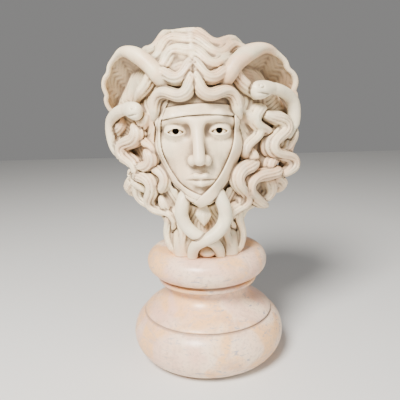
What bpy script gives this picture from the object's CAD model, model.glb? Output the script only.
import math

import bpy
import numpy as np
import openvdb
from mathutils import Matrix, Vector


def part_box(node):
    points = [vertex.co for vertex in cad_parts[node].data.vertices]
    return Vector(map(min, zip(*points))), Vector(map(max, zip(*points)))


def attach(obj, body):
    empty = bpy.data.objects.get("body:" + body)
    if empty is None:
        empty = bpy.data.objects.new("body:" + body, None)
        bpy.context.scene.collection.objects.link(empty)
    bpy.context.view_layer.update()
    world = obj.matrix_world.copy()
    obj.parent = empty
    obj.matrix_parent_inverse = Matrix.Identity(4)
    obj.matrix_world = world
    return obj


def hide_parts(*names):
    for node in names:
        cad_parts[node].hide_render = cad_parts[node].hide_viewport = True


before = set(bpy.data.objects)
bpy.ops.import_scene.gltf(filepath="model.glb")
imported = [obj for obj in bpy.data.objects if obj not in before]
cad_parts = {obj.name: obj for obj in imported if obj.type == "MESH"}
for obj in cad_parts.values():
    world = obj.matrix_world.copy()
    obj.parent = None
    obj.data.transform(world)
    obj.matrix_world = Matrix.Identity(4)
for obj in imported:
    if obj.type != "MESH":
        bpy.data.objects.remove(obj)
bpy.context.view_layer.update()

# Camera: the photograph's viewing angle, from a little over the mask's crown and
# from far enough that the face isn't drawn out. Metres and degrees.
CAMERA_PLACE = (-0.009, -0.720, 0.415)
CAMERA_PITCH = 12.0
CAMERA_ROLL = -1.5
CAMERA_LENS = 40.5
lens = bpy.data.cameras.new("camera")
lens.sensor_width = 36.0
lens.lens = CAMERA_LENS
camera = bpy.data.objects.new("camera", lens)
pitch = Matrix.Rotation(math.radians(90.0 - CAMERA_PITCH), 4, "X")
roll = Matrix.Rotation(math.radians(CAMERA_ROLL), 4, "Z")
camera.matrix_world = Matrix.Translation(CAMERA_PLACE) @ pitch @ roll
bpy.context.scene.collection.objects.link(camera)
bpy.context.scene.camera = camera

# Mask: a winged gorgon's head carved from one block of white marble, hollowed with the
# running drill between the locks. Its neck is cut flat and stands on the socle's bed.
# The carving is worked out in millimetres, with the neck's foot at height 0.
MASK_OFFSET = -5.0
MASK_HEIGHT = 340.0
NECK_HALF_WIDTH = 55.0
NECK_FRONT = 66.0
BACK_REACH = 64.0
HEAD_LEAN = 0.045
RIGHT_FULLNESS = 0.24
FULLNESS_START = 70.0
DRILL_RADIUS = 5.8
DRILL_DEPTH = 14.0
CHIN_H, MOUTH_H, NOSE_BASE_H, EYE_H, BROW_H, EYE_X = 84.0, 126.0, 147.0, 194.0, 209.0, 31.0
GRAIN = 1.15
BAND = 6
LOWEST = np.array([-162.0, -116.0, -6.0])
HIGHEST = np.array([162.0, 72.0, 348.0])


def blend(a, b, k):
    h = np.maximum(k - np.abs(a - b), 0.0) / k
    return np.minimum(a, b) - h * h * (k / 4.0)


def carve(a, b, k):
    return -blend(-a, b, k)


def both(a, b, k):
    return -blend(-a, -b, k)


def smooth(x, low, high):
    t = np.clip((x - low) / (high - low), 0.0, 1.0)
    return t * t * (3.0 - 2.0 * t)


def ellipsoid(x, y, h, centre, radii):
    u, v, w = (x - centre[0]) / radii[0], (y - centre[1]) / radii[1], (h - centre[2]) / radii[2]
    far = np.sqrt(u * u + v * v + w * w)
    slope = np.sqrt((u / radii[0]) ** 2 + (v / radii[1]) ** 2 + (w / radii[2]) ** 2)
    return far * (far - 1.0) / np.maximum(slope, 1e-6)


def oval(x, h, centre, radii):
    return ellipsoid(x, 0.0, h, (centre[0], 0.0, centre[1]), (radii[0], 1e9, radii[1]))


def bar(x, y, h, a, b, ra, rb):
    a, b = np.array(a, float), np.array(b, float)
    d = b - a
    px, py, ph = x - a[0], y - a[1], h - a[2]
    t = np.clip((px * d[0] + py * d[1] + ph * d[2]) / (d @ d), 0.0, 1.0)
    away = np.sqrt((px - t * d[0]) ** 2 + (py - t * d[1]) ** 2 + (ph - t * d[2]) ** 2)
    return away - (ra + (rb - ra) * t)


LID_ARCS = ((14.5, 20.5), (20.6, 25.2))
IRIS_H = EYE_H + 1.6


def face_field(x, y, h):
    x = np.abs(x)
    d = ellipsoid(x, y, h, (0, -8, 216), (68, 77, 82))
    d = blend(d, ellipsoid(x, y, h, (0, -23, 146), (60, 62, 67)), 26)
    d = blend(d, ellipsoid(x, y, h, (39, -53, 172), (20, 19, 16)), 16)
    d = blend(d, ellipsoid(x, y, h, (0, -70, MOUTH_H), (27, 20, 21)), 15)
    d = blend(d, ellipsoid(x, y, h, (0, -72, CHIN_H + 14), (22, 17, 14)), 14)
    return d


def features(x, y, h, d):
    x = np.abs(x)
    d = blend(d, bar(x, y, h, (9, -81, BROW_H), (32, -77, BROW_H + 5), 5, 5), 9)
    d = blend(d, bar(x, y, h, (32, -77, BROW_H + 5), (53, -58, BROW_H - 2), 5, 5), 9)
    d = carve(d, ellipsoid(x, y, h, (EYE_X, -90, EYE_H + 1), (20, 14, 14)), 8)
    d = carve(d, ellipsoid(x, y, h, (EYE_X - 15, -84, EYE_H + 2), (7, 8, 9)), 7)
    ball = ellipsoid(x, y, h, (EYE_X, -66, EYE_H), (14.5, 13.5, 13))
    lids = ellipsoid(x, y, h, (EYE_X, -66, EYE_H), (17, 15.8, 15))
    over = np.hypot(x - EYE_X, h - EYE_H + LID_ARCS[0][0]) - LID_ARCS[0][1]
    under = np.hypot(x - EYE_X, h - EYE_H - LID_ARCS[1][0]) - LID_ARCS[1][1]
    d = blend(d, carve(lids, np.maximum(over, under), 0.8), 3)
    upper = np.maximum(np.hypot(over, lids) - 1.5, under - 1)
    lower = np.maximum(np.hypot(under, lids) - 1.1, over)
    d = blend(blend(d, upper, 1.5), lower, 1.5)
    d = np.minimum(d, ball)
    d = blend(d, bar(x, y, h, (0, -82, EYE_H + 12), (0, -100, NOSE_BASE_H + 9), 6.5, 8.5), 9)
    d = blend(d, ellipsoid(x, y, h, (10.5, -90, NOSE_BASE_H + 7), (6.5, 9.5, 7.5)), 5)
    d = carve(d, ellipsoid(x, y, h, (6.5, -93, NOSE_BASE_H - 1), (3.4, 5.0, 3.6)), 2)
    d = carve(d, bar(x, y, h, (0, -97.5, MOUTH_H + 11), (0, -96, NOSE_BASE_H - 6), 2.2, 1.6), 4)
    bow, corner = (7, -91.5, MOUTH_H + 5.8), (22, -82, MOUTH_H + 0.5)
    d = blend(d, bar(x, y, h, (0, -92, MOUTH_H + 4.4), bow, 3.8, 3.8), 2.5)
    d = blend(d, bar(x, y, h, bow, corner, 3.8, 1.8), 2.5)
    d = blend(d, bar(x, y, h, (0, -90.5, MOUTH_H - 5.6), (17, -83.5, MOUTH_H - 2.4), 5.4, 2.6), 3)
    d = carve(d, bar(x, y, h, (0, -97, MOUTH_H + 0.3), (24, -84.5, MOUTH_H - 0.5), 1.5, 1.0), 1.5)
    d = carve(d, bar(x, y, h, (0, -92, MOUTH_H - 15.5), (9, -90, MOUTH_H - 14), 3.2, 2.4), 6)
    return d


def strapped(x, y, h, near, bare, places, half_width, lift, share):
    """The face with a strap along an arc through three places, and a fine line cut at its edges."""
    (ax, ah), (bx, bh), (cx, ch) = places
    a, b, c = ax * ax + ah * ah, bx * bx + bh * bh, cx * cx + ch * ch
    twice = 2 * (ax * (bh - ch) + bx * (ch - ah) + cx * (ah - bh))
    mid_x = (a * (bh - ch) + b * (ch - ah) + c * (ah - bh)) / twice
    mid_h = (a * (cx - bx) + b * (ax - cx) + c * (bx - ax)) / twice
    radius = math.hypot(ax - mid_x, ah - mid_h)
    beside = np.abs(np.hypot(x - mid_x, h - mid_h) - radius) - half_width
    made = both(bare - lift * share, beside, 1.2) + 3 * (share < 0.05)
    return np.maximum(np.minimum(near, made), 0.9 - np.hypot(beside - 0.6 + 3 * (1 - share), near))


# The brow band and the straps: places on each one's middle line, then half its width
BAND_LIFT = 2.6
BROW_BAND, BAND_HALF_WIDTH = ((-60, 217), (0, 226), (62, 221)), 7.5
LEFT_STRAP, LEFT_HALF_WIDTH = ((-60, 196), (-44, 128), (6, 89)), 6.0
CHIN_STRAP, CHIN_HALF_WIDTH = ((-47, 130), (-22, 108), (10, 97)), 4.0
RIGHT_STRAP, RIGHT_HALF_WIDTH = ((62, 196), (40, 134), (-6, 90)), 8.0


def lay_of_hair(x, h):
    across = np.hypot(40.0, 0.95 * x) - 40.0
    crown = 110.0 * (1.0 - np.sqrt(1.0 - np.clip((h - 235.0) / 105.0, 0.0, 0.985) ** 2))
    return -86.0 + across + crown + 20.0 * (1.0 - smooth(h, 45.0, 120.0))


def outward(x, h):
    over_x = lay_of_hair(x + 0.5, h) - lay_of_hair(x - 0.5, h)
    over_h = lay_of_hair(x, h + 0.5) - lay_of_hair(x, h - 0.5)
    way = np.stack([over_x, -np.ones_like(over_x), over_h], -1)
    return way / np.linalg.norm(way, axis=-1, keepdims=True)


# The block that the hair is cut from, in the carver's grid of small cubes
first = np.floor(LOWEST / GRAIN).astype(int)
counts = np.ceil((HIGHEST - LOWEST) / GRAIN).astype(int)


def cubes(low, high):
    """The slices of the grid between two corners, and the places there."""
    a = np.clip(np.floor(np.array(low) / GRAIN).astype(int) - first, 0, counts)
    b = np.clip(np.ceil(np.array(high) / GRAIN).astype(int) - first + 1, 0, counts)
    window = tuple(slice(i, j) for i, j in zip(a, b))
    axes = [((np.arange(i, j) + f) * GRAIN).astype(np.float32) for i, j, f in zip(a, b, first)]
    return window, np.ix_(*axes)


# The head's outline from the front, then the combed hair over the crown and down the sides
_, (gx, gy, gh) = cubes(LOWEST, HIGHEST)
side = np.abs(gx)
outline = oval(side, gh, (0, 214), (114, 129))
outline = blend(outline, oval(side, gh, (82, 188), (58, 64)), 24)
outline = blend(outline, oval(side, gh, (58, 106), (46, 44)), 24)
outline = blend(outline, np.maximum(side - NECK_HALF_WIDTH + 5, gh - 90), 30)
OVER_CROWN, COMB_STEP, FALL_STEP, FALL_SLOW_STEP = 245, 6.0, 8.0, 13.0
over_crown = np.arctan2(gh - 215.0, 20.0 - gy) * 105.0
beside = np.where((side > 100) & (gh > 120), gh * 0.9 + 6 * np.sin(side / 7.0), side + 6 * np.sin(gh / 10.0))
sweep = np.where(gh > OVER_CROWN, over_crown + 5 * np.sin(gx / 9.0) + 5 * np.sin(gx / 23.0 + 1), beside)
combing = (0.9 - 0.4 * smooth(gh, 240.0, 250.0)) * np.cos(sweep * (2 * math.pi / COMB_STEP))
ground = 6.0 + (3.0 - 6.0) * smooth(gh, 230.0, 290.0) + combing
drift = gy + 6 * np.sin(gh / 15.0 + 1.2 * np.sin(gh / 37.0 + gy / 19.0))
fall = np.cos(drift * (2 * math.pi / FALL_STEP)) + 0.7 * np.cos(drift * (2 * math.pi / FALL_SLOW_STEP) + 1)
outline = outline + 0.8 * fall * smooth(gh, 20.0, 60.0) * (1 - smooth(gy, 40.0, 56.0))
front = (lay_of_hair(gx, gh) + ground - gy) * 0.8
front = front + ((4.0 - NECK_FRONT - gy) - front) * (1.0 - smooth(gh, 5.0, 70.0))
marble = both(both(outline, front, 14), gy - BACK_REACH, 24).astype(np.float32)

# The face, let into a moat in the hair, with the band and the straps over it
face_window, (fx, fy, fh) = cubes((-84, -116, 60), (84, 72, 304))
face = face_field(fx, fy, fh).astype(np.float32)
near_window, (nx, ny, nh) = cubes((-84, -116, 60), (84, -14, 304))
near = features(nx, ny, nh, face_field(nx, ny, nh)).astype(np.float32)
moat = np.maximum(near - 4.0, ny + 30.0 + 26.0 * (1 - smooth(nh, 100.0, 145.0)))
moat = np.maximum(moat, np.maximum(nh - 262.0, CHIN_H - 20.0 - nh))
marble[near_window] = carve(marble[near_window], moat, 2.0)
bare = near.copy()
for places, half_width, lift, share in ((BROW_BAND, BAND_HALF_WIDTH, BAND_LIFT, 1.0),
                                        (LEFT_STRAP, LEFT_HALF_WIDTH, BAND_LIFT, 1 - smooth(nx, -4, 8)),
                                        (CHIN_STRAP, CHIN_HALF_WIDTH, BAND_LIFT, 1 - smooth(nx, 0, 12)),
                                        (RIGHT_STRAP, RIGHT_HALF_WIDTH, BAND_LIFT + 1.2, smooth(nx, -14, 0))):
    near = strapped(nx, ny, nh, near, bare, places, half_width, lift, share)
near = near.astype(np.float32)
face[:, :near.shape[1], :] = near


# Locks, snakes and the wings' rolled edges are rods that follow a path. One tree makes them:
# an oval section swept along the path, drawn in across it, with strands that wind along it.
class Wire:
    """One socket's value in a node tree, so that maths on it reads as an expression."""

    def __init__(self, socket):
        self.socket = socket

    @staticmethod
    def node(tree, kind, settings=None, values=None):
        made = tree.nodes.new(kind)
        for name, value in (settings or {}).items():
            setattr(made, name, value)
        for key, value in (values or {}).items():
            if isinstance(value, Wire):
                tree.links.new(value.socket, made.inputs[key])
            else:
                made.inputs[key].default_value = value
        return made

    def maths(self, operation, a, b=None):
        tree = self.socket.id_data
        wired = [w for w in (a, b) if isinstance(w, Wire)]
        if any(w.socket.type == "VECTOR" for w in wired):
            spread = [(v, v, v) if isinstance(v, (int, float)) else v for v in (a, b)]
            values = {i: v for i, v in enumerate(spread) if v is not None}
            made = self.node(tree, "ShaderNodeVectorMath", {"operation": operation}, values)
            return Wire(made.outputs[0])
        values = {i: v for i, v in enumerate((a, b)) if v is not None}
        return Wire(self.node(tree, "ShaderNodeMath", {"operation": operation}, values).outputs[0])

    def __add__(self, other):
        return self.maths("ADD", self, other)

    __radd__ = __add__

    def __mul__(self, other):
        return self.maths("MULTIPLY", self, other)

    __rmul__ = __mul__

    def __sub__(self, other):
        return self.maths("SUBTRACT", self, other)

    def __rsub__(self, other):
        return self.maths("SUBTRACT", other, self)

    def dot(self, other):
        tree = self.socket.id_data
        made = self.node(tree, "ShaderNodeVectorMath", {"operation": "DOT_PRODUCT"}, {0: self, 1: other})
        return Wire(made.outputs["Value"])

    def scaled(self, amount):
        tree = self.socket.id_data
        made = self.node(tree, "ShaderNodeVectorMath", {"operation": "SCALE"}, {0: self, "Scale": amount})
        return Wire(made.outputs[0])


rods = bpy.data.node_groups.new("marble_rod", "GeometryNodeTree")
rods.is_modifier = True
rods.interface.new_socket("Path", in_out="INPUT", socket_type="NodeSocketGeometry")
rod_inputs = {}
for name, kind, value in (("Sides", "NodeSocketInt", 30), ("Strands", "NodeSocketFloat", 0.0),
                          ("Groove", "NodeSocketFloat", 0.0), ("Twist", "NodeSocketFloat", 0.0),
                          ("Stone", "NodeSocketMaterial", None)):
    made = rods.interface.new_socket(name, in_out="INPUT", socket_type=kind)
    if value is not None:
        made.default_value = value
    rod_inputs[name] = made.identifier
rods.interface.new_socket("Rod", in_out="OUTPUT", socket_type="NodeSocketGeometry")
given = rods.nodes.new("NodeGroupInput")


def held(name, kind):
    made = Wire.node(rods, "GeometryNodeInputNamedAttribute", {"data_type": kind}, {"Name": name})
    return Wire(made.outputs[0])


def keep(geometry, name, kind, value):
    made = Wire.node(rods, "GeometryNodeStoreNamedAttribute", {"data_type": kind, "domain": "POINT"},
                     {"Geometry": geometry, "Name": name, "Value": value})
    return Wire(made.outputs[0])


def moved(geometry, offset):
    made = Wire.node(rods, "GeometryNodeSetPosition", None, {"Geometry": geometry, "Offset": offset})
    return Wire(made.outputs[0])


path = Wire(given.outputs["Path"])
path = Wire(Wire.node(rods, "GeometryNodeMeshToCurve", None, {"Mesh": path}).outputs[0])
path = Wire(Wire.node(rods, "GeometryNodeSetCurveNormal", {"mode": "FREE"},
                      {"Curve": path, "Normal": held("facing", "FLOAT_VECTOR")}).outputs[0])
path = keep(path, "spine", "FLOAT_VECTOR", Wire(rods.nodes.new("GeometryNodeInputPosition").outputs[0]))
path = keep(path, "along", "FLOAT", Wire(rods.nodes.new("GeometryNodeSplineParameter").outputs["Factor"]))
ring = Wire.node(rods, "GeometryNodeCurvePrimitiveCircle", {"mode": "RADIUS"},
                 {"Resolution": Wire(given.outputs["Sides"]), "Radius": 1.0})
round_share = Wire(rods.nodes.new("GeometryNodeSplineParameter").outputs["Factor"])
ring = keep(Wire(ring.outputs[0]), "round", "FLOAT", round_share)
swept = Wire(Wire.node(rods, "GeometryNodeCurveToMesh", None,
                       {"Curve": path, "Profile Curve": ring, "Scale": held("reach", "FLOAT"),
                        "Fill Caps": True}).outputs[0])
place = Wire(rods.nodes.new("GeometryNodeInputPosition").outputs[0])
facing = held("facing", "FLOAT_VECTOR")
outside = (place - held("spine", "FLOAT_VECTOR")).dot(facing)
deeper = facing.scaled(outside * (held("depth", "FLOAT") - 1.0))
swept = moved(swept, deeper)
turned = Wire(given.outputs["Twist"]) * held("along", "FLOAT")
winding = (Wire(given.outputs["Strands"]) * held("round", "FLOAT") + turned) * (2 * math.pi)
uneven = (held("round", "FLOAT") * 3.0 + held("along", "FLOAT") * 1.3) * (2 * math.pi)
valley = (winding.maths("COSINE", winding) * 0.5 - 0.5) * (uneven.maths("SINE", uneven) * 0.3 + 0.7)
cut = valley * Wire(given.outputs["Groove"]) * held("reach", "FLOAT")
inwards = Wire(rods.nodes.new("GeometryNodeInputNormal").outputs[0]).scaled(cut)
swept = moved(swept, inwards)
swept = Wire(Wire.node(rods, "GeometryNodeRealizeInstances", None, {"Geometry": swept}).outputs[0])
swept = Wire(Wire.node(rods, "GeometryNodeSetMaterial", None,
                       {"Geometry": swept, "Material": Wire(given.outputs["Stone"])}).outputs[0])
handed = rods.nodes.new("NodeGroupOutput")
rods.links.new(swept.socket, handed.inputs["Rod"])

mask_marble = bpy.data.materials.new("mask_marble")


def smooth_path(points, stride):
    """A centripetal spline through the points, with even steps."""
    p = np.array(points, float)
    p = np.vstack([2 * p[0] - p[1], p, 2 * p[-1] - p[-2]])
    gaps = np.maximum(np.linalg.norm(np.diff(p, axis=0), axis=1), 1e-6) ** 0.5
    t = np.linspace(0, 1, 20, endpoint=False)[:, None]
    runs = []
    for i in range(1, len(p) - 2):
        d0, d1, d2 = gaps[i - 1], gaps[i], gaps[i + 1]
        m1 = ((p[i] - p[i - 1]) / d0 - (p[i + 1] - p[i - 1]) / (d0 + d1) + (p[i + 1] - p[i]) / d1) * d1
        m2 = ((p[i + 1] - p[i]) / d1 - (p[i + 2] - p[i]) / (d1 + d2) + (p[i + 2] - p[i + 1]) / d2) * d1
        runs.append((2 * t**3 - 3 * t**2 + 1) * p[i] + (t**3 - 2 * t**2 + t) * m1
                    + (3 * t**2 - 2 * t**3) * p[i + 1] + (t**3 - t**2) * m2)
    line = np.vstack([*runs, p[-2:-1]])
    far = np.concatenate([[0], np.cumsum(np.linalg.norm(np.diff(line, axis=0), axis=1))])
    even = np.linspace(0, far[-1], max(8, int(far[-1] / stride)))
    return np.stack([np.interp(even, far, line[:, k]) for k in range(3)], -1), far[-1]


def rod(points, section, facing, strands=0, groove=0.0, twist=0.0):
    """The rod's field on the grid near it, and the window that it fills."""
    line, length = smooth_path(points, 1.5)
    t = np.linspace(0, 1, len(line))
    ahead = np.gradient(line, axis=0)
    ahead /= np.linalg.norm(ahead, axis=1, keepdims=True)
    out = facing(line)
    across = np.cross(ahead, out)
    across /= np.linalg.norm(across, axis=1, keepdims=True)
    out = np.cross(across, ahead)
    reach, depth = section(t)
    mesh = bpy.data.meshes.new("path")
    mesh.from_pydata(line.tolist(), [(i, i + 1) for i in range(len(line) - 1)], [])
    for name, kind, key, values in (("facing", "FLOAT_VECTOR", "vector", out),
                                    ("reach", "FLOAT", "value", reach),
                                    ("depth", "FLOAT", "value", depth / reach)):
        values = np.asarray(values, np.float32).ravel()
        mesh.attributes.new(name, kind, "POINT").data.foreach_set(key, values)
    thing = bpy.data.objects.new("path", mesh)
    bpy.context.scene.collection.objects.link(thing)
    modifier = thing.modifiers.new("rod", "NODES")
    modifier.node_group = rods
    for name, value in (("Strands", float(strands)), ("Groove", float(groove)), ("Twist", float(twist)),
                        ("Sides", max(24, 8 * strands)), ("Stone", mask_marble)):
        modifier[rod_inputs[name]] = value
    made = bpy.data.meshes.new_from_object(thing.evaluated_get(bpy.context.evaluated_depsgraph_get()))
    bpy.data.objects.remove(thing)
    found = mesh_field(made)
    bpy.data.meshes.remove(made)
    return found


def mesh_field(mesh):
    """The field of a closed mesh on the grid near it, and the window that it fills."""
    places = np.empty(len(mesh.vertices) * 3, np.float32)
    mesh.vertices.foreach_get("co", places)
    places = places.reshape(-1, 3)
    mesh.calc_loop_triangles()
    corners = np.empty(len(mesh.loop_triangles) * 3, np.int32)
    mesh.loop_triangles.foreach_get("vertices", corners)
    grid = openvdb.FloatGrid.createLevelSetFromPolygons(
        places, triangles=corners.reshape(-1, 3).astype(np.uint32),
        transform=openvdb.createLinearTransform(GRAIN), halfWidth=BAND)
    window, _ = cubes(places.min(0) - BAND * GRAIN, places.max(0) + BAND * GRAIN)
    field = np.empty([s.stop - s.start for s in window], np.float32)
    grid.copyToArray(field, ijk=tuple(int(s.start + f) for s, f in zip(window, first)))
    return window, field


def meander(start, end, waves, sway, phase=0.0, curl=0.0):
    s = (np.arange(24) + 0.5) / 24
    heading = np.radians(sway * np.sin(2 * math.pi * (waves * s + phase)) + curl * smooth(s, 0.7, 1.0))
    x = np.concatenate([[0], np.cumsum(np.cos(heading))])
    h = np.concatenate([[0], np.cumsum(np.sin(heading))])
    far = x[-1] ** 2 + h[-1] ** 2
    run = (end[0] - start[0], end[1] - start[1])
    c = (run[0] * x[-1] + run[1] * h[-1]) / far
    d = (run[1] * x[-1] - run[0] * h[-1]) / far
    return start[0] + c * x - d * h, start[1] + d * x + c * h


# Each lock: from, to, waves, sway, phase, curl, width at both ends, sunk at both ends, strands
SHARED_LOCKS = (
    ((2, 272), (64, 210), 1.6, 46, 0.55, -60, (10, 9), (6, 5), 6),
    ((5, 288), (86, 237), 1.8, 48, 0.55, -110, (11, 9), (3, 4), 6),
    ((3, 303), (62, 282), 1.3, 40, 0.05, 0, (12, 12), (-4, -4), 7),
    ((3, 317), (86, 293), 1.5, 42, 0.05, 0, (14, 12), (-8, -7), 8),
    ((3, 331), (76, 312), 1.3, 36, 0.05, 0, (14, 11), (-8, -7), 8),
    ((72, 222), (70, 150), 1.2, 46, 0, 0, (9, 9), (-2, -1), 6),
    ((90, 228), (96, 176), 1, 46, 0.6, 0, (11, 10), (-2, -2), 6),
    ((72, 164), (64, 100), 1.1, 50, 0.3, 0, (9, 9), (-1, -1), 6),
    ((111, 212), (122, 150), 1.1, 40, 0, 0, (13, 13), (-8, -4), 8),
    ((126, 166), (108, 88), 1.1, 56, 0.5, 0, (13, 12), (-3, -3), 7),
    ((94, 124), (58, 44), 1.2, 46, 0.1, 0, (12, 9), (-3, -4), 6),
    ((60, 100), (43, -8), 1.5, 18, 0.5, 0, (11, 10), (-2, -4), 6),
    ((42, 80), (27, -8), 1.2, 18, 0.5, 0, (11, 10), (-3, -3), 6),
)
LEFT_LOCKS = (
    ((96, 206), (112, 118), 1.5, 64, -0.2, 0, (12, 11), (9, 9), 6),
    ((78, 168), (86, 98), 1.2, 62, 0.75, 0, (11, 10), (6, 6), 6),
    ((108, 134), (50, 34), 1.9, 56, 0.5, 0, (12, 9), (9, 0), 6),
)
RIGHT_LOCKS = (
    ((90, 224), (110, 112), 1.9, 62, 0, 0, (12, 11), (9, 8), 6),
    ((82, 150), (48, 36), 1.9, 54, 0.5, 0, (12, 9), (8, 0), 6),
    ((112, 132), (96, 66), 1.1, 62, 0.5, 100, (12, 10), (8, 6), 6),
)
LOCK_DEPTH = 1.45
COMB_SHIFT = 0.4


def on_lay(line):
    return outward(line[:, 0], line[:, 2])


def add_rod(found, channel, softness):
    """Joins a rod to the marble, with a drilled channel where the two meet."""
    window, field = found
    here = marble[window]
    joined = blend(here, field, softness)
    if channel:
        joined = np.maximum(joined, channel - np.hypot(here, field))
    marble[window] = joined
    return window, field


def lay_locks(turn, rows, channel, softness, groove=0.3):
    for start, end, waves, sway, phase, curl, width, sunk, strands in rows:
        at_parting = start[0] < 6
        x, h = meander((-1, start[1]) if at_parting else start, end, waves, sway, phase, curl)
        t = np.linspace(0, 1, len(x))
        lift = sunk[0] + (sunk[1] - sunk[0]) * t - (0 if at_parting else 8) * (1 - smooth(t, 0, 0.12))
        points = np.stack([turn * x, lay_of_hair(x, h) + 4 - lift, h], -1)

        def lock_section(t, width=width, at_parting=at_parting):
            ends = np.minimum(1 - t, t + (1.0 if at_parting else 0.0))
            r = (width[0] + (width[1] - width[0]) * t) * np.sqrt(np.minimum(1, 0.05 + 6 * ends))
            return r, r * LOCK_DEPTH

        add_rod(rod(points, lock_section, on_lay, strands * 2, groove, 1.5 * turn), channel, softness)


# The combed mass behind comes first, then the locks that stand free of it
for turn in (-1, 1):
    shift = COMB_SHIFT if turn > 0 else 0.0
    combed = [(*row[:4], row[4] + shift, *row[5:]) for row in SHARED_LOCKS[2:5]]
    lay_locks(turn, combed, 0.0, 6.0, 0.2)
    lay_locks(turn, SHARED_LOCKS[5:], 0.5, 3.0)
for turn, own in ((-1, LEFT_LOCKS), (1, RIGHT_LOCKS)):
    lay_locks(turn, SHARED_LOCKS[:2] + own, 1.3, 1.5)

# The parting is closed behind, where the locks of the two sides meet
PARTING_HEIGHTS = (262, 282, 302)
PARTING_FILL = 6.0
window, (x, y, h) = cubes((-12, -100, 250), (12, -20, 312))
parting = [(0.0, float(lay_of_hair(0.0, up)) + 1, up) for up in PARTING_HEIGHTS]
for a, b in zip(parting, parting[1:]):
    marble[window] = blend(marble[window], bar(x, y, h, a, b, PARTING_FILL, PARTING_FILL), 3)

# Wings: a hollow blade of feathers inside a thick rolled leading edge
WING_RIM = ((32, 256, -50), (46, 270, -62), (62, 290, -58), (82, 306, -46), (102, 311, -32),
            (120, 299, -18), (135, 275, -6), (140, 248, 4), (132, 218, 16))
WING_ROOT = ((46, 250, -44), (112, 212, 24))
WING_HOLLOW = 20.0
WING_THICK = 42.0
WING_EDGE = 16.0
FEATHERS = 6
FEATHER_RISE = 3.5
blades = np.full(marble.shape, 50.0, np.float32)
for turn in (-1, 1):
    rim, _ = smooth_path([(turn * x, y, h) for x, h, y in WING_RIM], 1.0)
    t = np.linspace(0, 1, len(rim))
    ahead = np.gradient(rim, axis=0)
    beyond = np.stack([-ahead[:, 2], np.zeros(len(rim)), ahead[:, 0]], -1) * turn
    beyond /= np.linalg.norm(beyond, axis=1, keepdims=True)
    notch = np.abs(np.sin(math.pi * FEATHERS * t)) ** 0.5 - 0.7
    rim = rim + beyond * (notch * 7.0 * smooth(t, 0.45, 0.75))[:, None]
    root = [np.array((turn * x, y, h), float) for x, h, y in WING_ROOT]
    spans, rows = len(rim), 60
    t = np.linspace(0, 1, spans)[:, None]
    v = np.linspace(0, 1, rows)[None, :]
    within = (t * FEATHERS) % 1
    rib = FEATHER_RISE * np.sin(math.pi * within) ** 0.7 * (v < 0.999)
    coverts = smooth(v + 0.07 * np.cos(2 * math.pi * t * FEATHERS * 1.5), 0.5, 0.56)
    rib = rib * (1 - coverts) + coverts * (3.0 + 2.0 * np.abs(np.sin(math.pi * t * FEATHERS * 1.5)))
    outer = rim[:, None, :]
    inner = (root[0] + (root[1] - root[0]) * t)[:, None, :]
    long = np.linalg.norm(outer - inner, axis=-1)
    barbs = 0.8 * np.cos(2 * math.pi * (v * long / 6.5 + np.abs(within - 0.5) * 4)) * smooth(long, 30, 60)
    barbs = barbs * (v < 0.999)
    sheet = outer + (inner - outer) * v[..., None]
    sheet[..., 1] += WING_HOLLOW * np.sin(math.pi * np.minimum(1, v * 0.8 + 0.05)) - rib - barbs
    back = sheet.copy()
    back[..., 1] += WING_EDGE + (WING_THICK - WING_EDGE) * v
    places = np.vstack([sheet.reshape(-1, 3), back.reshape(-1, 3)])
    number = np.arange(spans * rows).reshape(spans, rows)
    corners = [number[:-1, :-1], number[1:, :-1], number[1:, 1:], number[:-1, 1:]]
    quads = [np.stack(corners, -1).reshape(-1, 4)]
    quads.append(quads[0][:, ::-1] + spans * rows)
    edge = np.concatenate([number[:-1, 0], number[-1, :-1], number[:0:-1, -1], number[0, :0:-1]])
    after = np.roll(edge, -1)
    quads.append(np.stack([after, edge, edge + spans * rows, after + spans * rows], -1))
    mesh = bpy.data.meshes.new("blade")
    mesh.from_pydata(places.tolist(), [], np.vstack(quads).tolist())
    window, field = add_rod(mesh_field(mesh), 0.0, 2.0)
    blades[window] = np.minimum(blades[window], field)
    bpy.data.meshes.remove(mesh)

    def rim_section(t):
        r = 12 - 8.5 * smooth(t, 0.3, 0.6)
        return r, r * 1.1

    def rim_facing(line, turn=turn):
        way = np.array((turn * 0.4, -1, 0.3))
        return np.tile(way / np.linalg.norm(way), (len(line), 1))

    add_rod(rod(rim[::6], rim_section, rim_facing), 0.6, 3.0)

# Snakes: one rears at each temple with its head towards the face, and two are tied under the chin
TEMPLE_SNAKE = ((80, 248, 17), (106, 254, 18), (134, 236, 12), (136, 200, 8), (124, 176, 2))
LEFT_SNAKE_DROP = 26.0
KNOT_SNAKE = ((18, 116, -36), (25, 99, -8), (31, 83, 8), (32, 68, 13), (26, 53, 16), (14, 42, 17),
              (1, 35, 17), (-11, 28, 13), (-18, 18, 8), (-21, 6, 2), (-22, -8, -2))
KNOT_CROSSING = 5.0
HEAD_SHARE = 0.26
snakes = np.full(marble.shape, 50.0, np.float32)


def temple_section(t):
    head = 3 + 10.5 * np.sin(math.pi * np.minimum(0.85, np.sqrt(t / HEAD_SHARE) * 0.85))
    r = np.where(t < HEAD_SHARE, head, 9 - 1.2 * (t - HEAD_SHARE))
    return r, r * (0.75 + 0.25 * smooth(t, HEAD_SHARE * 0.6, HEAD_SHARE * 1.4))


def knot_section(t):
    return 10.5 - 3 * t * t, 10.5 - 3 * t * t


def snake_points(points, turn, drop, step):
    """The path's places: across, the hair's lay less the lift there, and up less the drop."""
    return [(turn * x, float(lay_of_hair(float(x), h - drop)) - lift - step, h - drop)
            for x, h, lift in points]


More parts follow.
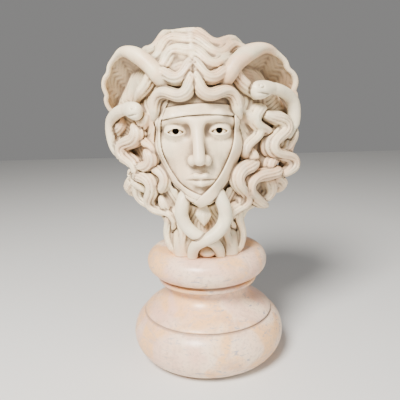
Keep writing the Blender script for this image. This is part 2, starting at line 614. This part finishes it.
for turn in (-1, 1):
    drop = LEFT_SNAKE_DROP if turn < 0 else 0.0
    step = KNOT_CROSSING if turn > 0 else 0.0
    for found in (rod(snake_points(TEMPLE_SNAKE, turn, drop, 0.0), temple_section, on_lay),
                  rod(snake_points(KNOT_SNAKE, turn, 0.0, step), knot_section, on_lay)):
        window, field = add_rod(found, 1.6, 1.2)
        snakes[window] = np.minimum(snakes[window], field)

# Each temple snake has a mouth line along the lower side of its head, and an eye.
# Places on the head are measured back from its tip, outwards and down.
MOUTH_LINE = ((-1, 5, 1), (5, 8.6, 3), (13, 9, 6), (20, 7.3, 8))
MOUTH_CUT, EYE_SOCKET, EYE_BALL = 1.7, 3.8, 2.5
for turn in (-1, 1):
    drop = LEFT_SNAKE_DROP if turn < 0 else 0.0
    tip, neck = (np.array(p) for p in snake_points(TEMPLE_SNAKE[:2], turn, drop, 0.0))
    out = on_lay(tip[None])[0]
    back = (neck - tip) / np.linalg.norm(neck - tip)
    down = np.cross(back, out) * turn
    window, (x, y, h) = cubes(tip - 32, tip + 32)
    head = marble[window]
    mouth = [tip + back * b + out * o + down * d for b, o, d in MOUTH_LINE]
    for a, b in zip(mouth, mouth[1:]):
        head = carve(head, bar(x, y, h, a, b, MOUTH_CUT, MOUTH_CUT), 0.4)
    eye = tip + back * 10 + out * 8.2 - down * 6.5
    far = np.sqrt((x - eye[0]) ** 2 + (y - eye[1]) ** 2 + (h - eye[2]) ** 2)
    head = carve(head, far - EYE_SOCKET, 0.5)
    marble[window] = blend(head, far - EYE_BALL, 0.2)

# The ribbed tuft inside the knot, spread like a small palmette, and the boss at the neck's foot
window, (x, y, h) = cubes((-30, -90, 30), (30, -40, 100))
for rib in range(-2, 3):
    middle = (4.8 * rib, -74 + 1.6 * abs(rib), 70)
    foot = (2.6 * rib, -71 + 1.2 * abs(rib), 53 + 2.6 * abs(rib))
    for a, b, wide in (((1.6 * rib, -69, 88), middle, 1.8), (middle, foot, 2.6)):
        marble[window] = blend(marble[window], bar(x, y, h, a, b, wide, 4.4 - wide), 0.2)
window, (x, y, h) = cubes((-30, -90, -6), (30, -30, 30))
marble[window] = blend(marble[window], ellipsoid(x, y, h, (2, -56, 9), (15, 20, 10)), 2)


def softened(field, times):
    for _ in range(times):
        for axis in range(3):
            ahead = np.roll(field, 1, axis)
            behind = np.roll(field, -1, axis)
            field = (0.25 * (ahead + behind) + 0.5 * field).astype(np.float32)
    return field


marble = softened(marble, 1)
marble[face_window] = np.minimum(marble[face_window], face)

# Irises are drilled straight back, close under the upper lids, and the foot and the back are sawn flat
for turn in (-1, 1):
    window, (x, y, h) = cubes((turn * EYE_X - 9, -100, EYE_H - 9), (turn * EYE_X + 9, -55, EYE_H + 9))
    wide = DRILL_RADIUS * (0.85 + 0.15 * (-80 - y) / DRILL_DEPTH)
    hole = both(np.hypot(x - turn * EYE_X, h - IRIS_H) - wide, y + 80 - DRILL_DEPTH, 3)
    over = np.hypot(x - turn * EYE_X, h - EYE_H + LID_ARCS[0][0]) - LID_ARCS[0][1]
    under = np.hypot(x - turn * EYE_X, h - EYE_H - LID_ARCS[1][0]) - LID_ARCS[1][1]
    marble[window] = carve(marble[window], np.maximum(hole, np.maximum(over, under) + 0.3), 0.8)
marble = np.maximum(marble, -gh)
marble = np.maximum(marble, gy - BACK_REACH).astype(np.float32)
for edge in (0, -1):
    marble[edge, :, :] = marble[:, edge, :] = marble[:, :, edge] = 5.0

field = openvdb.FloatGrid(background=float(BAND * GRAIN))
field.copyFromArray(np.clip(marble, -BAND * GRAIN, BAND * GRAIN), ijk=tuple(int(i) for i in first))
field.transform = openvdb.createLinearTransform(GRAIN)
field.gridClass = openvdb.GridClass.LEVEL_SET
places, quads = field.convertToQuads(isovalue=0.0)
quads = quads.astype(np.int32)


def raw_mesh(name, places, quads):
    mesh = bpy.data.meshes.new(name)
    mesh.vertices.add(len(places))
    mesh.vertices.foreach_set("co", np.asarray(places, np.float32).ravel())
    mesh.loops.add(quads.size)
    mesh.loops.foreach_set("vertex_index", quads.ravel())
    mesh.polygons.add(len(quads))
    mesh.polygons.foreach_set("loop_start", np.arange(0, quads.size, quads.shape[1], dtype=np.int32))
    mesh.update(calc_edges=True)
    return mesh


# Loose crumbs go: only the largest skin of the carving stays
root = np.arange(len(places))
for _ in range(60):
    low = root[quads].min(axis=1)
    before = root.copy()
    for k in range(4):
        np.minimum.at(root, quads[:, k], low)
    root = root[root]
    if np.array_equal(before, root):
        break
names, sizes = np.unique(root, return_counts=True)
kept = root == names[np.argmax(sizes)]
renumber = np.cumsum(kept) - 1
quads = renumber[quads[kept[quads].all(axis=1)]].astype(np.int32)
places = places[kept]
corner = places[quads].astype(float)
volume = np.einsum("ij,ij->i", corner[:, 0], np.cross(corner[:, 1], corner[:, 2])).sum()
volume += np.einsum("ij,ij->i", corner[:, 0], np.cross(corner[:, 2], corner[:, 3])).sum()
if volume < 0:
    quads = quads[:, ::-1]

CARVING_TRIANGLES = 190000.0
draft = bpy.data.objects.new("draft", raw_mesh("draft", places, np.ascontiguousarray(quads)))
bpy.context.scene.collection.objects.link(draft)
thin = draft.modifiers.new("thin", "DECIMATE")
thin.ratio = min(1.0, CARVING_TRIANGLES / (2 * len(quads)))
mesh = bpy.data.meshes.new_from_object(draft.evaluated_get(bpy.context.evaluated_depsgraph_get()))
bpy.data.objects.remove(draft)
count = len(mesh.vertices)
places = np.empty(count * 3, np.float32)
mesh.vertices.foreach_get("co", places)
places = places.reshape(-1, 3).astype(float)


def sampled(field, step=1):
    """A field's values at the mesh's points; the field may keep every second or fourth cube alone."""
    ends = np.array(field.shape) - 1
    at = np.clip((places / GRAIN - first) / step, 0, ends - 0.001)
    low = np.floor(at).astype(int)
    part = at - low
    total = np.zeros(len(places))
    for corner in range(8):
        ahead = np.array([(corner >> k) & 1 for k in range(3)])
        weight = np.prod(np.where(ahead, part, 1 - part), axis=1)
        i, j, k = np.minimum(low + ahead, ends).T
        total += weight * field[i, j, k]
    return total


clipped = np.clip(marble, -5, 5)
hollow = sampled(softened(clipped[::2, ::2, ::2], 6), 2)
fine = sampled(softened(clipped, 3))
deep = sampled(softened(np.clip(marble, -20, 20)[::4, ::4, ::4], 8), 4)
irises = np.hypot(np.abs(places[:, 0]) - EYE_X, places[:, 2] - IRIS_H)
drilled = (1 - smooth(irises, DRILL_RADIUS - 0.4, DRILL_RADIUS + 0.6)) * smooth(places[:, 1], -79.0, -75.0)
drilled = drilled * (places[:, 1] < -50)
whole_face = np.full(marble.shape, 20.0, np.float32)
whole_face[face_window] = face
for name, values in (("crevice", np.clip(-hollow / 2.0, -1, 1)), ("nick", np.clip(-fine / 0.8, -1, 1)),
                     ("shelter", np.clip(-deep / 7.0, -1, 1)),
                     ("drilled", drilled), ("skin", 1 - smooth(sampled(whole_face), 0.6, 1.6)),
                     ("blades", 1 - smooth(np.abs(sampled(blades)), 0.6, 1.8)),
                     ("scales", 1 - smooth(sampled(snakes), 0.8, 2.4))):
    mesh.attributes.new(name, "FLOAT", "POINT").data.foreach_set("value", values.astype(np.float32))

low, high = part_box("mask")
top = places[:, 2].max()
places[:, 2] = np.where(np.abs(places[:, 2]) < 0.7 * GRAIN, 0.0, places[:, 2])
places[:, 1] = np.where(np.abs(places[:, 1] - BACK_REACH) < 0.7 * GRAIN, BACK_REACH, places[:, 1])
fuller = RIGHT_FULLNESS * np.maximum(0, places[:, 0] - FULLNESS_START)
places[:, 0] = places[:, 0] + fuller - HEAD_LEAN * (places[:, 2] - CHIN_H) + MASK_OFFSET
places[:, 2] = places[:, 2] * MASK_HEIGHT / top + low.z * 1000
mesh.vertices.foreach_set("co", (places / 1000).astype(np.float32).ravel())
mesh.polygons.foreach_set("use_smooth", np.ones(len(mesh.polygons), bool))
mesh.materials.clear()
mesh.materials.append(mask_marble)
mesh.name = "mask_carving"
mesh.update()
mask = bpy.data.objects.new("mask_carving", mesh)
bpy.context.scene.collection.objects.link(mask)

# The mask's finish: warm white marble, rubbed on the high places, with grey-brown dirt in the drilled ones
mask_marble.use_nodes = True
tree = mask_marble.node_tree
tree.nodes.clear()
surface = tree.nodes.new("ShaderNodeBsdfPrincipled")
finish = tree.nodes.new("ShaderNodeOutputMaterial")
tree.links.new(surface.outputs[0], finish.inputs["Surface"])


def there(tree):
    return Wire(tree.nodes.new("ShaderNodeTexCoord").outputs["Object"])


def noise(tree, at, scale, detail=4.0, distortion=0.0):
    made = Wire.node(tree, "ShaderNodeTexNoise", {"noise_dimensions": "3D"},
                     {"Vector": at, "Scale": scale, "Detail": detail, "Distortion": distortion})
    return Wire(made.outputs["Fac"])


def ramp(tree, value, low, high):
    made = Wire.node(tree, "ShaderNodeMapRange", {"interpolation_type": "SMOOTHSTEP", "clamp": True},
                     {"Value": value, "From Min": low, "From Max": high})
    return Wire(made.outputs[0])


def mixed(tree, amount, a, b):
    a, b = (colour if isinstance(colour, Wire) else (*colour, 1.0) for colour in (a, b))
    values = {0: amount, 6: a, 7: b}
    return Wire(Wire.node(tree, "ShaderNodeMix", {"data_type": "RGBA"}, values).outputs[2])


def painted(tree, name):
    return Wire(Wire.node(tree, "ShaderNodeAttribute", {"attribute_name": name}).outputs["Fac"])


at = there(tree)
cloud = noise(tree, at, 14.0, 5.0, 0.6)
mottle = noise(tree, at, 60.0, 5.0)
speck = noise(tree, at, 420.0, 3.0)
streak = noise(tree, Wire(Wire.node(tree, "ShaderNodeVectorMath", {"operation": "MULTIPLY"},
                                    {0: at, 1: (1.0, 1.0, 0.35)}).outputs[0]), 38.0, 6.0, 1.2)
crevice = painted(tree, "crevice")
nick = painted(tree, "nick")
skin = painted(tree, "skin")
scales = painted(tree, "scales")
shelter = painted(tree, "shelter")
blades = painted(tree, "blades")
green = noise(tree, at, 24.0, 4.0, 0.5)
colour = mixed(tree, ramp(tree, cloud, 0.38, 0.62), (0.78, 0.52, 0.31), (0.94, 0.79, 0.52))
colour = mixed(tree, ramp(tree, mottle, 0.45, 0.70) * 0.6, colour, (0.76, 0.50, 0.32))
colour = mixed(tree, ramp(tree, green, 0.52, 0.68) * 0.5, colour, (0.60, 0.60, 0.44))
colour = mixed(tree, ramp(tree, streak, 0.50, 0.68) * 0.5, colour, (0.56, 0.46, 0.36))
colour = mixed(tree, skin * 0.55, colour, (0.95, 0.78, 0.53))
colour = mixed(tree, scales * 0.5, colour, (0.84, 0.78, 0.58))
rubbed = ramp(tree, crevice * -1.0, 0.1, 0.8)
colour = mixed(tree, rubbed * 0.4, colour, (0.96, 0.84, 0.62))
shade = ramp(tree, shelter + (streak - 0.5) * 0.8, -0.1, 0.6)
colour = mixed(tree, shade * 0.75, colour, (0.34, 0.25, 0.15))
colour = mixed(tree, blades * (0.5 + streak * 0.5), colour, (0.34, 0.24, 0.145))
dirt = ramp(tree, crevice + (mottle - 0.5) * 0.5, -0.05, 0.6)
colour = mixed(tree, dirt * 0.85, colour, (0.20, 0.135, 0.08))
lines = ramp(tree, nick + (speck - 0.5) * 0.5, 0.0, 0.45)
colour = mixed(tree, lines * 0.85, colour, (0.20, 0.14, 0.09))
colour = mixed(tree, painted(tree, "drilled") * 0.95, colour, (0.02, 0.014, 0.01))
tree.links.new(colour.socket, surface.inputs["Base Color"])
rough = 0.46 + dirt * 0.3 - rubbed * 0.08 + (mottle - 0.5) * 0.1
tree.links.new(rough.socket, surface.inputs["Roughness"])
relief = mottle * 0.5 + speck * 0.25 + noise(tree, at, 160.0, 3.0) * 0.5
bump = Wire.node(tree, "ShaderNodeBump", None, {"Height": relief, "Distance": 0.0006, "Strength": 0.5})
tree.links.new(bump.outputs[0], surface.inputs["Normal"])
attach(mask, "root")
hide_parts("mask")

# Socle: a round base turned from one block of pinkish, grey-veined marble and rubbed to a low
# polish. A swelling foot, an incised ring, a bell, a thin ring and a thick roll under the bed.
FOOT_ROLL_REACH, FOOT_ROLL_RADIUS, FOOT_SPREAD = 126.0, 42.0, 56.0
GROOVE_WIDTH, GROOVE_DEPTH, GROOVE_LIP = 3.0, 2.5, 1.0
BELL_RISE, BELL_SHOULDER, BELL_DRAW, WAIST_CURVE = 42.0, 14.0, 12.0, 22.0
WAIST_RADIUS, WAIST_RISE = 65.0, 8.0
FILLET_REACH, FILLET_HEIGHT, FILLET_EASE = 82.0, 8.0, 2.0
NECKING_RADIUS, NECKING_HEIGHT = 77.0, 4.0
TOP_ROLL_REACH, TOP_ROLL_RADIUS = 99.0, 22.0
SOCLE_TURNS = 192
foot_centre = FOOT_ROLL_REACH - FOOT_ROLL_RADIUS
foot_end = math.radians(FOOT_SPREAD)
groove_radius = foot_centre + FOOT_ROLL_RADIUS * math.cos(foot_end)
groove_height = FOOT_ROLL_RADIUS * (1 + math.sin(foot_end))
waist_height = groove_height + GROOVE_WIDTH + BELL_RISE
fillet_height = waist_height + WAIST_RISE
necking_height = fillet_height + FILLET_HEIGHT
top_roll_height = necking_height + NECKING_HEIGHT + TOP_ROLL_RADIUS
bed_height = top_roll_height + TOP_ROLL_RADIUS
top_roll_centre = TOP_ROLL_REACH - TOP_ROLL_RADIUS


def arc(centre, height, radius, start, end, steps):
    angles = np.radians(np.linspace(start, end, steps))
    return list(zip(centre + radius * np.cos(angles), height + radius * np.sin(angles)))


def bezier(a, b, c, d, steps):
    t = np.linspace(0, 1, steps)[:, None]
    a, b, c, d = (np.array(p, float) for p in (a, b, c, d))
    places = (1 - t) ** 3 * a + 3 * (1 - t) ** 2 * t * b + 3 * (1 - t) * t**2 * c + t**3 * d
    return [tuple(place) for place in places]


profile = [(r, 0.0) for r in (0.5, 30.0, 60.0)]
profile += arc(foot_centre, FOOT_ROLL_RADIUS, FOOT_ROLL_RADIUS, -90, FOOT_SPREAD, 40)
profile += [(groove_radius - GROOVE_DEPTH * 0.8, groove_height + 0.5),
            (groove_radius - GROOVE_DEPTH, groove_height + GROOVE_WIDTH * 0.35),
            (groove_radius - GROOVE_DEPTH, groove_height + GROOVE_WIDTH * 0.6),
            (groove_radius - GROOVE_LIP * 1.6, groove_height + GROOVE_WIDTH * 0.9)]
profile += bezier((groove_radius - GROOVE_LIP, groove_height + GROOVE_WIDTH),
                  (groove_radius - BELL_DRAW, groove_height + GROOVE_WIDTH + BELL_SHOULDER),
                  (WAIST_RADIUS, waist_height - WAIST_CURVE), (WAIST_RADIUS, waist_height), 26)
profile += bezier((WAIST_RADIUS + 0.3, waist_height + 1), (WAIST_RADIUS + 1, fillet_height - 2.5),
                  (WAIST_RADIUS + 6, fillet_height - 1.5), (FILLET_REACH - FILLET_EASE, fillet_height), 10)
profile += arc(FILLET_REACH - FILLET_HEIGHT / 2, fillet_height + FILLET_HEIGHT / 2, FILLET_HEIGHT / 2,
               -70, 70, 10)
profile += [(NECKING_RADIUS + 0.5, necking_height + 0.2), (NECKING_RADIUS, necking_height + 1.2)]
profile += arc(top_roll_centre, top_roll_height, TOP_ROLL_RADIUS, -80, 90, 36)
profile += [(r, bed_height) for r in (60.0, 30.0, 0.5)]
profile = np.array(profile)
low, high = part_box("socle")
angles = np.linspace(0, 2 * math.pi, SOCLE_TURNS, endpoint=False)
places = np.stack([profile[:, None, 0] * np.cos(angles), profile[:, None, 0] * np.sin(angles),
                   np.repeat(profile[:, 1:2], SOCLE_TURNS, 1)], -1).reshape(-1, 3)
number = np.arange(len(places)).reshape(len(profile), SOCLE_TURNS)
around = np.roll(number, -1, axis=1)
quads = np.stack([number[:-1], around[:-1], around[1:], number[1:]], -1).reshape(-1, 4)
places[:, :2] *= min(1.0, high.x * 1000 / FOOT_ROLL_REACH)
faces = quads.tolist() + [number[0, ::-1].tolist(), number[-1].tolist()]
mesh = bpy.data.meshes.new("socle_turned")
mesh.from_pydata((places / 1000).tolist(), [], faces)
mesh.polygons.foreach_set("use_smooth", np.ones(len(mesh.polygons), bool))
mesh.update()
socle = bpy.data.objects.new("socle_turned", mesh)
bpy.context.scene.collection.objects.link(socle)

socle_marble = bpy.data.materials.new("socle_marble")
socle_marble.use_nodes = True
tree = socle_marble.node_tree
tree.nodes.clear()
surface = tree.nodes.new("ShaderNodeBsdfPrincipled")
finish = tree.nodes.new("ShaderNodeOutputMaterial")
tree.links.new(surface.outputs[0], finish.inputs["Surface"])
at = there(tree)
leaning = Wire(Wire.node(tree, "ShaderNodeMapping", {"vector_type": "POINT"},
                         {"Vector": at, "Rotation": (0.0, 0.5, 0.3), "Scale": (1.0, 1.0, 3.4)}).outputs[0])
cloud = noise(tree, at, 9.0, 6.0, 1.0)
patch = noise(tree, at, 16.0, 6.0, 0.9)
fleck = noise(tree, leaning, 70.0, 4.0, 0.3)
grain = noise(tree, at, 240.0, 4.0)
vein = noise(tree, leaning, 8.0, 8.0, 1.6)
thread = 1.0 - ramp(tree, (vein - 0.5).maths("ABSOLUTE", vein - 0.5), 0.0, 0.02)
colour = mixed(tree, ramp(tree, cloud, 0.35, 0.65), (0.84, 0.52, 0.38), (0.95, 0.74, 0.54))
colour = mixed(tree, ramp(tree, patch, 0.46, 0.62) * 0.9, colour, (0.95, 0.54, 0.22))
colour = mixed(tree, ramp(tree, grain, 0.48, 0.74) * 0.6, colour, (0.56, 0.38, 0.28))
blush = noise(tree, at, 48.0, 5.0, 0.8)
colour = mixed(tree, ramp(tree, blush, 0.5, 0.7) * 0.5, colour, (0.66, 0.42, 0.30))
flecked = ramp(tree, fleck, 0.58, 0.68) * ramp(tree, cloud, 0.4, 0.6)
colour = mixed(tree, flecked * 0.9, colour, (0.36, 0.33, 0.37))
colour = mixed(tree, thread * ramp(tree, patch, 0.4, 0.6) * 0.35, colour, (0.48, 0.40, 0.42))
height = Wire(Wire.node(tree, "ShaderNodeSeparateXYZ", None, {"Vector": at}).outputs["Z"])
for soiled in (groove_height + GROOVE_WIDTH * 0.45, necking_height + 0.6):
    away = height - soiled / 1000
    soil = 1.0 - ramp(tree, away.maths("ABSOLUTE", away), 0.0006, 0.0026)
    colour = mixed(tree, soil * 0.7, colour, (0.30, 0.20, 0.15))
tree.links.new(colour.socket, surface.inputs["Base Color"])
rough = 0.30 + ramp(tree, fleck, 0.5, 0.8) * 0.2
tree.links.new(rough.socket, surface.inputs["Roughness"])
relief = fleck * 0.6 + noise(tree, at, 300.0, 3.0) * 0.3
bump = Wire.node(tree, "ShaderNodeBump", None, {"Height": relief, "Distance": 0.0004, "Strength": 0.4})
tree.links.new(bump.outputs[0], surface.inputs["Normal"])
mesh.materials.append(socle_marble)
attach(socle, "root")
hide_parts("socle")

# Studio: a pale floor that rises into a plain backdrop, with a large soft light over the
# left shoulder, a weaker one from the right and an even pale surround.
FLOOR_REACH = 3.0
floor_mesh = bpy.data.meshes.new("floor")
floor_mesh.from_pydata([(-FLOOR_REACH, -FLOOR_REACH, 0), (FLOOR_REACH, -FLOOR_REACH, 0),
                        (FLOOR_REACH, FLOOR_REACH, 0), (-FLOOR_REACH, FLOOR_REACH, 0)], [], [(0, 1, 2, 3)])
floor = bpy.data.objects.new("floor", floor_mesh)
bpy.context.scene.collection.objects.link(floor)
floor_paint = bpy.data.materials.new("floor_paint")
floor_paint.use_nodes = True
floor_paint.node_tree.nodes["Principled BSDF"].inputs["Base Color"].default_value = (0.72, 0.72, 0.71, 1)
floor_paint.node_tree.nodes["Principled BSDF"].inputs["Roughness"].default_value = 0.8
floor_mesh.materials.append(floor_paint)


def soft_light(name, place, target, width, power, tint):
    data = bpy.data.lights.new(name, "AREA")
    data.shape = "DISK"
    data.size = width
    data.energy = power
    data.color = tint
    made = bpy.data.objects.new(name, data)
    made.location = place
    made.rotation_mode = "QUATERNION"
    aim = Matrix.Translation(target).translation - made.location
    made.rotation_quaternion = aim.to_track_quat("-Z", "Y")
    bpy.context.scene.collection.objects.link(made)


soft_light("key", (-0.6, -1.2, 1.55), (0.0, 0.0, 0.35), 0.7, 108.0, (1.0, 0.96, 0.90))
soft_light("fill", (1.3, -1.1, 0.9), (0.0, 0.0, 0.35), 1.2, 11.0, (1.0, 0.98, 0.96))
world = bpy.data.worlds.new("surround")
world.use_nodes = True
world.node_tree.nodes["Background"].inputs["Color"].default_value = (0.90, 0.89, 0.88, 1)
world.node_tree.nodes["Background"].inputs["Strength"].default_value = 0.27
bpy.context.scene.world = world
